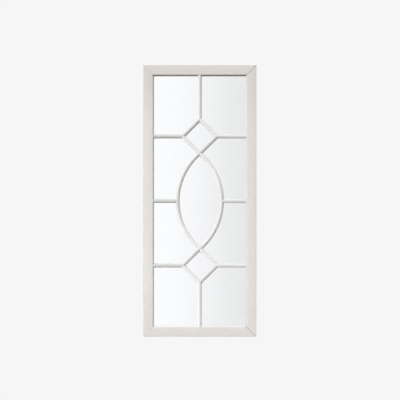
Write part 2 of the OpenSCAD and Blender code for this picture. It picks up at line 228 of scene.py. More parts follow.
def new_group(
    name: str, inputs: dict[str, float | None], outputs: list[str]
) -> tuple[Nodes, bpy.types.NodeOutputs, bpy.types.NodeInputs]:
    """Starts a shader node group.

    Args:
        name: The group's name.
        inputs: Each input's name and default, where None makes it a vector.
        outputs: The names of its values.

    Returns:
        The hand on its tree, its inputs' sockets and its outputs' sockets.
    """
    group = bpy.data.node_groups.new(name, "ShaderNodeTree")
    for label, default in inputs.items():
        kind = "NodeSocketVector" if default is None else "NodeSocketFloat"
        socket = group.interface.new_socket(label, in_out="INPUT", socket_type=kind)
        if default is not None:
            socket.default_value = default
    for label in outputs:
        group.interface.new_socket(label, in_out="OUTPUT", socket_type="NodeSocketFloat")
    hand = Nodes(group)
    return hand, hand.add("NodeGroupInput").outputs, hand.add("NodeGroupOutput").inputs


@functools.cache
def timber_grain() -> bpy.types.NodeTree:
    """Builds the group for timber whose fibres run along X: fibres, growth rings and pores.

    Returns:
        The group.
    """
    waves, sway_depth, dash_shape = (2.5, 14.0, 14.0), 0.012, (7.0, 1.6, 1.6)
    fibre_span, pore_span = (0.3, 0.72), (0.62, 0.72)
    hand, given, result = new_group(
        "Timber grain",
        {"Vector": None, "Fibre Width": 0.0012, "Fibre Length": 0.15, "Ring Width": 0.011},
        ["Fibres", "Rings", "Pores"],
    )
    slow = hand.noise(hand.vector("MULTIPLY", given["Vector"], waves), detail=2.0)
    sway = hand.math("MULTIPLY", hand.math("SUBTRACT", slow, 0.5), sway_depth)
    place = hand.vector("ADD", given["Vector"], hand.joined(0.0, sway, sway))
    size = hand.joined(given["Fibre Length"], given["Fibre Width"], given["Fibre Width"])
    stretched = hand.vector("DIVIDE", place, size)
    fibres = hand.noise(stretched, detail=4.0, roughness=0.6)
    dashes = hand.noise(hand.vector("MULTIPLY", stretched, dash_shape), detail=1.0)
    rings = hand.math("DIVIDE", hand.parts(place)["Z"], given["Ring Width"])
    wave = hand.math("SINE", hand.math("MULTIPLY", rings, 2 * math.pi))
    hand.tree.links.new(hand.spread(fibres, fibre_span), result["Fibres"])
    hand.tree.links.new(hand.math("MULTIPLY_ADD", wave, 0.5, 0.5), result["Rings"])
    hand.tree.links.new(hand.spread(dashes, pore_span), result["Pores"])
    return hand.tree


@functools.cache
def edge_wear() -> bpy.types.NodeTree:
    """Builds the group for worn edges, where a bevelled normal leaves the true one, in patches.

    Returns:
        The group.
    """
    bend_span, samples = (0.004, 0.16), 6
    hand, given, result = new_group(
        "Edge wear", {"Vector": None, "Radius": 0.001, "Patch Size": 0.01, "Cover": 0.5}, ["Worn"]
    )
    eased_way = hand.add("ShaderNodeBevel", {"Radius": given["Radius"]}, samples=samples).outputs[0]
    true_way = hand.add("ShaderNodeNewGeometry").outputs["Normal"]
    bend = hand.math("SUBTRACT", 1.0, hand.vector("DOT_PRODUCT", eased_way, true_way))
    patches = hand.patches(given["Vector"], given["Patch Size"], detail=4.0, roughness=0.65)
    cover = hand.math("ADD", hand.math("SUBTRACT", patches, 0.5), given["Cover"])
    worn = hand.math("MULTIPLY", hand.spread(bend, bend_span), cover, clamp=True)
    hand.tree.links.new(worn, result["Worn"])
    return hand.tree


@functools.cache
def settled_dust() -> bpy.types.NodeTree:
    """Builds the group for dust that settles on what faces up, in soft patches.

    Returns:
        The group.
    """
    slope_span, patch_span = (0.25, 1.0), (0.3, 0.7)
    hand, given, result = new_group(
        "Settled dust", {"Vector": None, "Patch Size": 0.03, "Cover": 0.4}, ["Dust"]
    )
    up = hand.parts(hand.add("ShaderNodeNewGeometry").outputs["Normal"])["Z"]
    patches = hand.patches(given["Vector"], given["Patch Size"], detail=5.0, roughness=0.6)
    amount = hand.math("MULTIPLY", hand.spread(up, slope_span), hand.spread(patches, patch_span))
    hand.tree.links.new(hand.math("MULTIPLY", amount, given["Cover"], clamp=True), result["Dust"])
    return hand.tree


@functools.cache
def fine_speckle() -> bpy.types.NodeTree:
    """Builds the group for a fine even grit with a slow drift under it.

    Returns:
        The group.
    """
    span = (0.3, 0.7)
    hand, given, result = new_group(
        "Fine speckle", {"Vector": None, "Grit Size": 0.0006, "Drift Size": 0.02}, ["Grit", "Drift"]
    )
    grit = hand.patches(given["Vector"], given["Grit Size"], detail=2.0)
    drift = hand.patches(given["Vector"], given["Drift Size"], detail=4.0)
    hand.tree.links.new(hand.spread(grit, span), result["Grit"])
    hand.tree.links.new(hand.spread(drift, span), result["Drift"])
    return hand.tree


@functools.cache
def height_drift() -> bpy.types.NodeTree:
    """Builds the group for a share that grows with height, or both up and down from the middle.

    Returns:
        The group.
    """
    hand, given, result = new_group(
        "Height drift", {"Vector": None, "Start": 0.0, "Full": 0.1, "Both Ways": 0.0}, ["Share"]
    )
    height = hand.parts(given["Vector"])["Z"]
    fold = hand.math("SUBTRACT", hand.math("ABSOLUTE", height), height)
    away = hand.math("MULTIPLY_ADD", fold, given["Both Ways"], height)
    hand.tree.links.new(hand.spread(away, (given["Start"], given["Full"])), result["Share"])
    return hand.tree


@dataclass
class Draft:
    """A material in the making: its nodes, its shader and the place that its patterns read."""

    material: bpy.types.Material
    hand: Nodes
    shader: bpy.types.Node
    place: bpy.types.NodeSocket

    def effect(
        self, group: bpy.types.NodeTree, values: dict[str, float]
    ) -> bpy.types.NodeOutputs:
        """Places a node group that reads the piece's place, and returns its outputs."""
        inputs = {"Vector": self.place, **values}
        return self.hand.add("ShaderNodeGroup", inputs, node_tree=group).outputs

    def relief(self, height: Source, strength: float, depth: float) -> bpy.types.NodeSocket:
        """Turns a height into a bumped normal."""
        values = {"Height": height, "Strength": strength, "Distance": depth}
        return self.hand.add("ShaderNodeBump", values).outputs[0]

    def feed(self, values: dict[str, Source]) -> bpy.types.Material:
        """Feeds the shader and returns the finished material."""
        self.hand.fill(self.shader, values)
        return self.material


@dataclass(frozen=True)
class Finish(ABC):
    """What every finish has: a name, and a draft of a material to start from.

    In each finish a pair of roughnesses is its least and its most, and a relief is its strength
    and its depth. Shares and covers run from 0 to 1.
    """

    name: str

    @abstractmethod
    def material(self) -> bpy.types.Material:
        """Builds the material once."""

    def start(self) -> Draft:
        """Starts the material, with its patterns on the piece's own coordinates.

        Returns:
            The draft.
        """
        material = bpy.data.materials.new(self.name)
        material.use_nodes = True
        hand = Nodes(material.node_tree)
        place = hand.add("ShaderNodeTexCoord").outputs["Object"]
        return Draft(material, hand, hand.found("BSDF_PRINCIPLED"), place)


@dataclass(frozen=True)
class Drift:
    """A wash that another one turns into with height, measured from the middle of the mirror."""

    wash: Colour
    start: float
    full: float
    both_ways: bool = False

    def values(self) -> dict[str, float]:
        """Gives the numbers for the node group."""
        return {"Start": self.start, "Full": self.full, "Both Ways": float(self.both_ways)}


@dataclass(frozen=True)
class LimedWood(Finish):
    """Timber under a thin off-white lime wash, rubbed back along its edges.

    Grain is how far the wood shows along its fibres, rings how far of that it shows in its rings,
    and pores how far the wash fills them. A bent piece has the side that it lies on and the radius
    and offset of its bend, and its fibres follow the bend.
    """

    axis: Axis = Axis.LEVEL
    wash: Colour = tone(229, 224, 220)
    cloud: Colour = tone(226, 224, 219)
    wood: Colour = tone(186, 170, 155)
    filled: Colour = tone(238, 235, 230)
    edge: Colour = tone(188, 182, 176)
    dust: Colour = tone(214, 210, 204)
    grain: float = 0.16
    rings: float = 0.35
    pores: float = 0.5
    rubbed: float = 0.55
    rubbed_radius: float = 0.0022
    rubbed_patch: float = 0.012
    dust_cover: float = 0.25
    grit_size: float = 0.002
    cloud_size: float = 0.045
    roughness: Span = (0.62, 0.76)
    relief: tuple[float, float] = (0.25, 0.0004)
    specular: float = 0.3
    bend: tuple[float, float, float] | None = None
    drift: Drift | None = None

    def along(self, draft: Draft) -> bpy.types.NodeSocket:
        """Turns the piece's place so that X runs along the fibres.

        Args:
            draft: The material in the making.

        Returns:
            The turned place.
        """
        hand = draft.hand
        if self.bend is None:
            values = {"Vector": draft.place, "Rotation": self.axis.value}
            return hand.add("ShaderNodeMapping", values).outputs[0]
        side, radius, offset = self.bend
        values = {"Vector": draft.place, "Location": (offset, 0.0, 0.0), "Scale": (side, 1.0, 1.0)}
        parts = hand.parts(hand.add("ShaderNodeMapping", values).outputs[0])
        level = hand.joined(parts["X"], 0.0, parts["Z"])
        run = hand.math("MULTIPLY", hand.math("ARCTAN2", parts["Z"], parts["X"]), radius)
        off = hand.math("SUBTRACT", hand.vector("LENGTH", level), radius)
        return hand.joined(run, parts["Y"], off)

    @functools.cache
    def material(self) -> bpy.types.Material:
        """Builds the material once.

        Returns:
            The material.
        """
        draft = self.start()
        hand = draft.hand
        drift = self.drift and draft.effect(height_drift(), self.drift.values())
        draft.place = self.along(draft)
        grain = draft.effect(timber_grain(), {})
        wear = draft.effect(
            edge_wear(),
            {"Radius": self.rubbed_radius, "Patch Size": self.rubbed_patch, "Cover": self.rubbed},
        )
        dust = draft.effect(settled_dust(), {"Cover": self.dust_cover})
        patches = draft.effect(
            fine_speckle(), {"Grit Size": self.grit_size, "Drift Size": self.cloud_size}
        )
        colour = hand.blend(patches["Drift"], self.wash, self.cloud)
        if drift:
            colour = hand.blend(drift["Share"], colour, self.drift.wash)
        colour = hand.tint(colour, self.wood, grain["Fibres"], self.grain)
        colour = hand.tint(colour, self.wood, grain["Rings"], self.grain * self.rings)
        colour = hand.tint(colour, self.filled, grain["Pores"], self.pores)
        colour = hand.blend(wear["Worn"], colour, self.edge)
        colour = hand.blend(dust["Dust"], colour, self.dust)
        height = hand.math("SUBTRACT", grain["Fibres"], grain["Pores"])
        return draft.feed({
            "Base Color": colour,
            "Roughness": hand.spread(grain["Fibres"], to=self.roughness),
            "Normal": draft.relief(height, *self.relief),
            "Specular IOR Level": self.specular,
        })


@dataclass(frozen=True)
class SilveredGlass(Finish):
    """Silvered glass with a breath of haze."""

    silver: Colour = tone(254, 253, 254)
    haze: Colour = tone(247, 249, 248)
    hazed: float = 0.25
    speck_size: float = 0.004
    haze_size: float = 0.12
    roughness: Span = (0.006, 0.02)

    @functools.cache
    def material(self) -> bpy.types.Material:
        """Builds the material once.

        Returns:
            The material.
        """
        draft = self.start()
        film = draft.effect(
            fine_speckle(), {"Grit Size": self.speck_size, "Drift Size": self.haze_size}
        )
        return draft.feed({
            "Base Color": draft.hand.tint(self.silver, self.haze, film["Drift"], self.hazed),
            "Metallic": 1.0,
            "Roughness": draft.hand.spread(film["Drift"], to=self.roughness),
        })


@dataclass(frozen=True)
class PlatedSteel(Finish):
    """Plated steel with a fine grit, a slow cloud of tarnish and edges rubbed bright.

    The grit and the cloud each add their share to its dullness.
    """

    plate: Colour = tone(196, 199, 204)
    tarnish: Colour = tone(158, 158, 156)
    bright: Colour = tone(226, 228, 230)
    roughness: Span = (0.28, 0.46)
    grit_dulls: float = 0.4
    cloud_dulls: float = 0.6
    tarnished: float = 0.6
    cloud_size: float = 0.009
    rubbed: float = 0.6
    rubbed_radius: float = 0.0005
    rubbed_patch: float = 0.004
    relief: tuple[float, float] = (0.12, 0.0001)

    @functools.cache
    def material(self) -> bpy.types.Material:
        """Builds the material once.

        Returns:
            The material.
        """
        draft = self.start()
        hand = draft.hand
        skin = draft.effect(fine_speckle(), {"Drift Size": self.cloud_size})
        wear = draft.effect(
            edge_wear(),
            {"Radius": self.rubbed_radius, "Patch Size": self.rubbed_patch, "Cover": self.rubbed},
        )
        colour = hand.tint(self.plate, self.tarnish, skin["Drift"], self.tarnished)
        cloud = hand.math("MULTIPLY", skin["Drift"], self.cloud_dulls)
        dulled = hand.math("MULTIPLY_ADD", skin["Grit"], self.grit_dulls, cloud)
        return draft.feed({
            "Base Color": hand.blend(wear["Worn"], colour, self.bright),
            "Metallic": 1.0,
            "Roughness": hand.spread(dulled, to=self.roughness),
            "Normal": draft.relief(skin["Grit"], *self.relief),
        })


@dataclass(frozen=True)
class PressedFibre(Finish):
    """Brown hardboard: pressed fibres with paler flecks."""

    board: Colour = tone(126, 98, 72)
    fleck: Colour = tone(158, 130, 98)
    dark: Colour = tone(92, 68, 48)
    darkened: float = 0.35
    speckled: float = 0.4
    flecked: float = 0.5
    grit_size: float = 0.0014
    cloud_size: float = 0.07
    fibre_width: float = 0.0008
    fibre_length: float = 0.004
    roughness: Span = (0.6, 0.8)
    relief: tuple[float, float] = (0.2, 0.0002)

    @functools.cache
    def material(self) -> bpy.types.Material:
        """Builds the material once.

        Returns:
            The material.
        """
        draft = self.start()
        hand = draft.hand
        skin = draft.effect(
            fine_speckle(), {"Grit Size": self.grit_size, "Drift Size": self.cloud_size}
        )
        grain = draft.effect(
            timber_grain(), {"Fibre Width": self.fibre_width, "Fibre Length": self.fibre_length}
        )
        colour = hand.tint(self.board, self.dark, skin["Drift"], self.darkened)
        colour = hand.tint(colour, self.fleck, skin["Grit"], self.speckled)
        return draft.feed({
            "Base Color": hand.tint(colour, self.fleck, grain["Pores"], self.flecked),
            "Roughness": hand.spread(skin["Grit"], to=self.roughness),
            "Normal": draft.relief(grain["Fibres"], *self.relief),
        })


@dataclass(frozen=True)
class MouldedRubber(Finish):
    """Dark grey rubber with a bloom and a fine grit."""

    rubber: Colour = tone(52, 52, 54)
    bloom: Colour = tone(92, 92, 92)
    dust: Colour = tone(150, 147, 142)
    bloomed: float = 0.4
    bloom_size: float = 0.006
    dust_patch: float = 0.005
    roughness: Span = (0.55, 0.85)
    relief: tuple[float, float] = (0.3, 0.0001)

    @functools.cache
    def material(self) -> bpy.types.Material:
        """Builds the material once.

        Returns:
            The material.
        """
        draft = self.start()
        hand = draft.hand
        skin = draft.effect(fine_speckle(), {"Drift Size": self.bloom_size})
        dust = draft.effect(settled_dust(), {"Patch Size": self.dust_patch})
        colour = hand.tint(self.rubber, self.bloom, skin["Drift"], self.bloomed)
        return draft.feed({
            "Base Color": hand.blend(dust["Dust"], colour, self.dust),
            "Roughness": hand.spread(skin["Drift"], to=self.roughness),
            "Normal": draft.relief(skin["Grit"], *self.relief),
        })


@dataclass(frozen=True)
class FadingFloor(Finish):
    """A pale matt floor, round and level, that turns into the backdrop towards its rim.

    The fade is where it starts and ends, as shares of the radius.
    """

    backdrop: Colour = tone(246, 246, 246)
    radius: float = 1.3
    fade: tuple[float, float] = (0.55, 0.98)
    dark: Colour = tone(226, 226, 226)
    light: Colour = tone(230, 230, 230)
    clouds: float = 1.2
    roughness: float = 0.9

    @functools.cache
    def material(self) -> bpy.types.Material:
        """Builds the material once.

        Returns:
            The material.
        """
        draft = self.start()
        hand = draft.hand
        flat = hand.vector("MULTIPLY", draft.place, (1.0, 1.0, 0.0))
        clouds = hand.noise(flat, detail=2.0, scale=self.clouds)
        start, full = (self.radius * share for share in self.fade)
        fade = hand.spread(hand.vector("LENGTH", flat), (start, full))
        seen = hand.add("ShaderNodeLightPath").outputs["Is Camera Ray"]
        clear = hand.add("ShaderNodeBsdfTransparent").outputs[0]
        glow = hand.add("ShaderNodeEmission", {"Color": self.backdrop, "Strength": 1.0}).outputs[0]
        mixed = hand.mix(fade, draft.shader.outputs[0], hand.mix(seen, clear, glow))
        hand.fill(hand.found("OUTPUT_MATERIAL"), {"Surface": mixed})
        return draft.feed({
            "Base Color": hand.blend(clouds, self.dark, self.light),
            "Roughness": self.roughness,
            "Specular IOR Level": 0.0,
        })


def soften(
    shape: bmesh.types.BMesh, edges: list[bmesh.types.BMEdge], width: float, segments: int,
    number: int = -1, clamp: bool = False,
) -> None:
    """Bevels edges.

    Args:
        shape: The shape that they are on.
        edges: The edges.
        width: How far the bevel reaches from each edge.
        segments: Faces across each bevel.
        number: The material number of the new faces, or -1 for that of the faces beside them.
        clamp: Whether bevels that would run into each other are kept apart.
    """
    bmesh.ops.bevel(
        shape, geom=edges, offset=width, segments=segments, profile=0.5, affect="EDGES",
        material=number, clamp_overlap=clamp,
    )


def piece_from(
    shape: bmesh.types.BMesh, name: str, finishes: list[Finish]
) -> bpy.types.Object:
    """Makes a piece of a finished shape, smooth but for its sharp edges.

    Args:
        shape: The shape, in world place; it is freed.
        name: The piece's name.
        finishes: Its finishes, in the order of its faces' material numbers.

    Returns:
        The piece.
    """
    bmesh.ops.recalc_face_normals(shape, faces=shape.faces)
    mesh = bpy.data.meshes.new(name)
    shape.to_mesh(mesh)
    shape.free()
    mesh.shade_smooth()
    mesh.set_sharp_from_angle(angle=SHARP_SHADING)
    for finish in finishes:
        mesh.materials.append(finish.material())
    piece = bpy.data.objects.new(name, mesh)
    bpy.context.collection.objects.link(piece)
    return piece


def eased(
    node: str, body: str, finish: Finish, width: float, segments: int = 2
) -> None:
    """Stands for a CAD node with the same shape, its sharp edges eased.

    Args:
        node: The CAD node.
        body: The body that it rides on.
        finish: Its finish.
        width: How far the easing reaches from each edge.
        segments: Faces across each eased edge.
    """
    shape = bmesh.new()
    shape.from_mesh(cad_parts[node].data)
    bmesh.ops.remove_doubles(shape, verts=shape.verts, dist=MERGE)
    bmesh.ops.dissolve_limit(shape, angle_limit=FLAT, verts=shape.verts, edges=shape.edges)
    sharp = [e for e in shape.edges if e.is_manifold and e.calc_face_angle(0.0) > SHARP_EDGE]
    soften(shape, sharp, width, segments, clamp=True)
    piece = piece_from(shape, f"{node}_eased", [finish])
    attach(piece, body)
    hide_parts(node)
    LOG.info("%s: eased copy, %s", node, finish.name)


def dress(names: list[str], finish: Finish) -> None:
    """Gives CAD nodes a finish.

    Args:
        names: The nodes' names.
        finish: The finish that they get.
    """
    for name in names:
        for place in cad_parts[name].material_slots:
            place.material = finish.material()
        LOG.info("%s: %s", name, finish.name)


@dataclass
class FrameMember:
    """One mitred member: a rebated board with a rounded outer arris and a splayed sight edge.

    Reach is how far its outer edge is from the middle of the mirror. Grooves are the widths of the
    eased mitre edges at its two ends, and a tight mitre has none. Looks in is the height of the
    normal, below which a face belongs to the sight edge. Nearness is how close a corner counts as
    found, and margin keeps the rebate's own edges out of a groove.
    """

    name: str
    edge: Edge
    length: float
    reach: float
    face_finish: Finish
    sight_finish: Finish
    joint_finish: Finish
    rim_finish: Finish
    grooves: tuple[float, float]
    back: float = -0.006
    depth: float = 0.018
    face: float = 0.042
    splay: tuple[float, float] = (0.005, 0.006)
    rebate: tuple[float, float] = (0.012, 0.007)
    arris: float = 0.002
    arris_segments: int = 6
    chamfer: float = 0.001
    softness: float = 0.0006
    soft_segments: int = 3
    gap: float = 0.0002
    tight_gap: float = 0.00005
    looks_in: float = -0.5
    nearness: float = 1e-5
    margin: float = 1e-4

    @property
    def front(self) -> float:
        """Gives the place of the flat face along Y."""
        return self.back - self.depth

    def section(self) -> list[tuple[float, float]]:
        """Lists the section's corners, from the outer back edge round by the face.

        Returns:
            Each corner's distance from the outer edge and its place along Y.
        """
        inner = self.face + self.splay[0]
        step = self.back - self.rebate[1]
        land = inner - self.rebate[0]
        return [
            (0.0, self.back), (0.0, self.front), (self.face, self.front),
            (inner, self.front + self.splay[1]), (inner, step), (land, step), (land, self.back),
        ]

    def edges_at(
        self, shape: bmesh.types.BMesh, corner: tuple[float, float]
    ) -> list[bmesh.types.BMEdge]:
        """Finds the long edge that runs from end to end at a corner of the section.

        Args:
            shape: The member, as a top rail.
            corner: The corner's distance from the outer edge and its place along Y.

        Returns:
            The edge, in a list.
        """
        out, deep = corner
        near = self.nearness
        return [
            e for e in shape.edges
            if all(abs(self.reach - v.co.z - out) < near for v in e.verts)
            and all(abs(v.co.y - deep) < near for v in e.verts)
        ]

    def blank(self) -> bmesh.types.BMesh:
        """Runs the section out to the member's length and cuts its mitres.

        Returns:
            The member, as a top rail with sharp edges.
        """
        shape = bmesh.new()
        start = -self.length / 2
        outline = [shape.verts.new((start, y, self.reach - out)) for out, y in self.section()]
        grown = bmesh.ops.extrude_face_region(shape, geom=[shape.faces.new(outline)])["geom"]
        ends = [v for v in grown if isinstance(v, bmesh.types.BMVert)]
        bmesh.ops.translate(shape, verts=ends, vec=(self.length, 0.0, 0.0))
        for side, width in zip(ENDS, self.grooves):
            half = self.length / 2 - (self.gap if width else self.tight_gap) / math.sqrt(2)
            cut = bmesh.ops.bisect_plane(
                shape, geom=[*shape.verts, *shape.edges, *shape.faces],
                plane_co=(side * half, 0.0, self.reach), plane_no=(side, 0.0, -1.0),
                clear_outer=True,
            )["geom_cut"]
            rim = [e for e in cut if isinstance(e, bmesh.types.BMEdge)]
            bmesh.ops.edgeloop_fill(shape, edges=rim)
        bmesh.ops.recalc_face_normals(shape, faces=shape.faces)
        return shape

    def groove(self, shape: bmesh.types.BMesh, side: float, width: float) -> None:
        """Eases the visible edges of a mitre, which leaves bare wood there.

        Args:
            shape: The member, as a top rail.
            side: -1 for its first end, 1 for its last.
            width: Width of the easing.
        """
        end = max(shape.faces, key=lambda f: f.normal.dot(Vector((side, 0.0, -1.0))))
        end.material_index = Skin.JOINT
        step = self.back - self.rebate[1] - self.margin
        seen = [
            e for e in end.edges
            if all(v.co.y < step for v in e.verts)
            or all(self.reach - v.co.z < self.arris for v in e.verts)
        ]
        soften(shape, seen, width, 1, Skin.JOINT)

    def mark(self, shape: bmesh.types.BMesh) -> None:
        """Gives the faces of the sight edge and of the arris their material numbers.

        Args:
            shape: The member, as a top rail.
        """
        for face in [f for f in shape.faces if f.material_index == Skin.FACE]:
            middle = face.calc_center_median()
            inward = self.reach - middle.z
            if inward > self.face + self.softness and face.normal.z < self.looks_in:
                face.material_index = Skin.SIGHT
            elif inward < self.arris and middle.y < self.front + self.arris:
                face.material_index = Skin.RIM

    def build(self) -> None:
        """Builds the member as a top rail, turns it to its edge and puts it in its node's place."""
        shape = self.blank()
        outer_back, outer_front, face_end, splay_end = self.section()[:4]
        soften(shape, self.edges_at(shape, outer_front), self.arris, self.arris_segments)
        soften(shape, self.edges_at(shape, outer_back), self.chamfer, 1)
        for corner in (face_end, splay_end):
            soften(shape, self.edges_at(shape, corner), self.softness, self.soft_segments)
        for side, width in zip(ENDS, self.grooves):
            if width:
                self.groove(shape, side, width)
        self.mark(shape)
        turn = Matrix.Rotation(self.edge.value, 3, "Y")
        bmesh.ops.rotate(shape, verts=shape.verts, matrix=turn)
        finishes = [self.face_finish, self.sight_finish, self.joint_finish, self.rim_finish]
        piece = piece_from(shape, f"{self.name}_member", finishes)
        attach(piece, "frame")
        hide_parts(self.name)
        LOG.info("%s: mitred member, %s", self.name, self.face_finish.name)


@dataclass(frozen=True)
class MemberWash:
    """The washes of one member: its face, the clouds in it, its sight edge, arris and ends."""

    face: Colour
    cloud: Colour
    # The sight edge and arris washes hold painted light and shade.
    sight: Colour
    rim: Colour
    ends: Colour | None = None


@dataclass
class TimberFrame:
    """The four mitred members and the nails across their mitres.

    A stile's wash turns into that of its ends between two heights above and below the middle.
    """

    width: float = 0.5
    height: float = 1.2
    open_mitre: float = 0.0006
    tight_mitre: float = 0.0
    ends_from: float = 0.3
    ends_full: float = 0.58
    sight_rubbed: float = 0.2
    # Painted light and shade: the top sight edge is dark and brownish as painted shade under the
    # top rail, the bottom one is light as painted light where it faces up, and the side ones are
    # darker than the faces as painted shade. Each arris is darker than its face as painted shade,
    # most on the top and left.
    top: MemberWash = MemberWash(
        face=tone(218, 210, 206), cloud=tone(213, 212, 206),
        sight=tone(168, 161, 148), rim=tone(197, 191, 186),
    )
    bottom: MemberWash = MemberWash(
        face=tone(216, 210, 207), cloud=tone(212, 211, 206),
        sight=tone(222, 223, 221), rim=tone(215, 211, 206),
    )
    left: MemberWash = MemberWash(
        face=tone(227, 219, 216), cloud=tone(221, 221, 215),
        sight=tone(196, 197, 193), rim=tone(204, 199, 194), ends=tone(213, 208, 204),
    )
    right: MemberWash = MemberWash(
        face=tone(227, 218, 216), cloud=tone(220, 218, 213),
        sight=tone(193, 195, 192), rim=tone(219, 215, 211), ends=tone(216, 212, 208),
    )
    joint: Finish = LimedWood(
        "Bare mitre", wash=tone(112, 100, 90), cloud=tone(104, 94, 84), rubbed=0.0
    )
    nails: Finish = PlatedSteel("Nail steel", plate=tone(120, 120, 122), tarnish=tone(88, 84, 80))

    def member(
        self, name: str, edge: Edge, wash: MemberWash, grooves: tuple[float, float]
    ) -> None:
        """Builds one member in its own washes.

        Args:
            name: The CAD node that it stands for.
            edge: The edge of the frame that it runs along.
            wash: Its washes.
            grooves: The widths of the eased mitre edges at its two ends.
        """
        upright = edge in (Edge.LEFT, Edge.RIGHT)
        long, wide = (self.height, self.width) if upright else (self.width, self.height)
        axis = Axis.UPRIGHT if upright else Axis.LEVEL
        drift = wash.ends and Drift(wash.ends, self.ends_from, self.ends_full, both_ways=True)
        label = name.replace("_", " ")
        face = LimedWood(f"Limed {label}", axis, wash=wash.face, cloud=wash.cloud, drift=drift)
        # The arris and sight edge washes are painted shade, and painted light on the bottom sight
        # edge.
        rim = LimedWood(f"Arris of the {label}", axis, wash=wash.rim, cloud=wash.rim)
        sight = LimedWood(
            f"Sight edge of the {label}", axis, wash=wash.sight, cloud=wash.sight,
            rubbed=self.sight_rubbed,
        )
        FrameMember(name, edge, long, wide / 2, face, sight, self.joint, rim, grooves).build()

    def build(self) -> None:
        """Builds the members, open at the right mitres alone, and dresses the nails."""
        left, right = self.tight_mitre, self.open_mitre
        self.member("top_rail", Edge.TOP, self.top, (left, right))
        self.member("bottom_rail", Edge.BOTTOM, self.bottom, (right, left))
        self.member("left_stile", Edge.LEFT, self.left, (left, left))
        self.member("right_stile", Edge.RIGHT, self.right, (right, right))
        dress(["mitre_nails"], self.nails)


@dataclass
class GlazedPanel:
    """The mirror glass and the half-round bars on it.

    The bars' washes are lit and shaded copies of one wash. The lens bars have the wash, a little
    painted shade, which turns pale along them as painted light. The rising bars and the level bars
    on the left are grey, as painted shade, the falling bars pale, as painted light, and the upright
    bars and those on the right plain.
    """

    glass: Finish = SilveredGlass("Silvered glass")
    # Grey, and the wash a little, are painted shade and pale is painted light; plain is the bars'
    # own wash.
    wash: Colour = tone(209, 209, 206)
    plain: Colour = tone(217, 217, 214)
    grey: Colour = tone(202, 202, 198)
    pale: Colour = tone(232, 232, 231)
    wood: Colour = tone(184, 183, 179)
    filled: Colour = tone(236, 236, 235)
    lens_half_width: float = 0.098
    lens_half_height: float = 0.211
    lens_drift: float = 0.15

    def bar(self, name: str, axis: Axis, wash: Colour) -> LimedWood:
        """Gives the finish for bars whose grain runs one way."""
        shared = {"wood": self.wood, "filled": self.filled, "rubbed": 0.0}
        return LimedWood(f"Limed {name} bar", axis, wash=wash, cloud=wash, **shared)

    def lens(self) -> None:
        """Dresses the two lens bars, pale as painted light towards the upper right and lower left.
        """
        half = self.lens_half_width
        radius = (self.lens_half_height**2 + half**2) / (2 * half)
        for side, sign in (("left", -1.0), ("right", 1.0)):
            bar = self.bar(f"lens {side}", Axis.UPRIGHT, self.wash)
            bend = (sign, radius, radius - half)
            # The pale drift is painted light where the bar runs falling.
            drift = Drift(self.pale, 0.0, sign * self.lens_drift)
            dress([f"lens_{side}_bar"], replace(bar, bend=bend, drift=drift))

    def build(self) -> None:
        """Dresses the glass, and each bar along its own grain."""
        dress(["mirror_glass"], self.glass)
        # The left level bars are grey as painted shade.
        for side, wash in (("left", self.grey), ("right", self.plain)):
            level = [f"{row}_{side}_bar" for row in ("upper", "middle", "lower")]
            dress(level, self.bar(f"{side} level", Axis.LEVEL, wash))
        dress(["top_bar", "bottom_bar"], self.bar("upright", Axis.UPRIGHT, self.plain))
        # The rising bars are grey as painted shade and the falling bars pale as painted light.
        rising = self.bar("rising", Axis.RISING, self.grey)
        falling = self.bar("falling", Axis.FALLING, self.pale)
        for diamond in ("upper_diamond", "lower_diamond"):
            dress([f"{diamond}_top_left", f"{diamond}_bottom_right"], rising)
            dress([f"{diamond}_top_right", f"{diamond}_bottom_left"], falling)
        self.lens()


@dataclass
class BackFittings:
    """Everything on the back: the board, its turn buttons, the corner braces, hangers and pads."""

    board: Finish = PressedFibre("Hardboard")
    zinc: Finish = PlatedSteel("Zinc plate")
    buttons: Finish = PlatedSteel(
        "Button steel", plate=tone(206, 204, 196), tarnish=tone(168, 164, 152)
    )
    screws: Finish = PlatedSteel(
        "Screw steel", plate=tone(176, 178, 182), tarnish=tone(132, 130, 126)
    )
    rings: Finish = PlatedSteel("Ring steel", plate=tone(214, 216, 220), roughness=(0.14, 0.26))
    pads: Finish = MouldedRubber("Pad rubber")
    plate_edge: float = 0.00025
    pad_edge: float = 0.0018
    pad_segments: int = 5

    def build(self) -> None:
        """Dresses the fittings, and eases the edges of the pressed and moulded ones."""
        dress(["backboard"], self.board)
        dress(["brace_screws", "turn_button_screws", "hanger_screws"], self.screws)
        dress(["left_hanger_ring", "right_hanger_ring"], self.rings)
        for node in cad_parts:
            if node.startswith("turn_button") and node != "turn_button_screws":
                eased(node, node, self.buttons, self.plate_edge)
        eased("corner_braces", "frame", self.zinc, self.plate_edge)
        for node in ("left_hanger_strap", "right_hanger_strap"):
            eased(node, "frame", self.zinc, self.plate_edge)
        eased("wall_pads", "frame", self.pads, self.pad_edge, self.pad_segments)


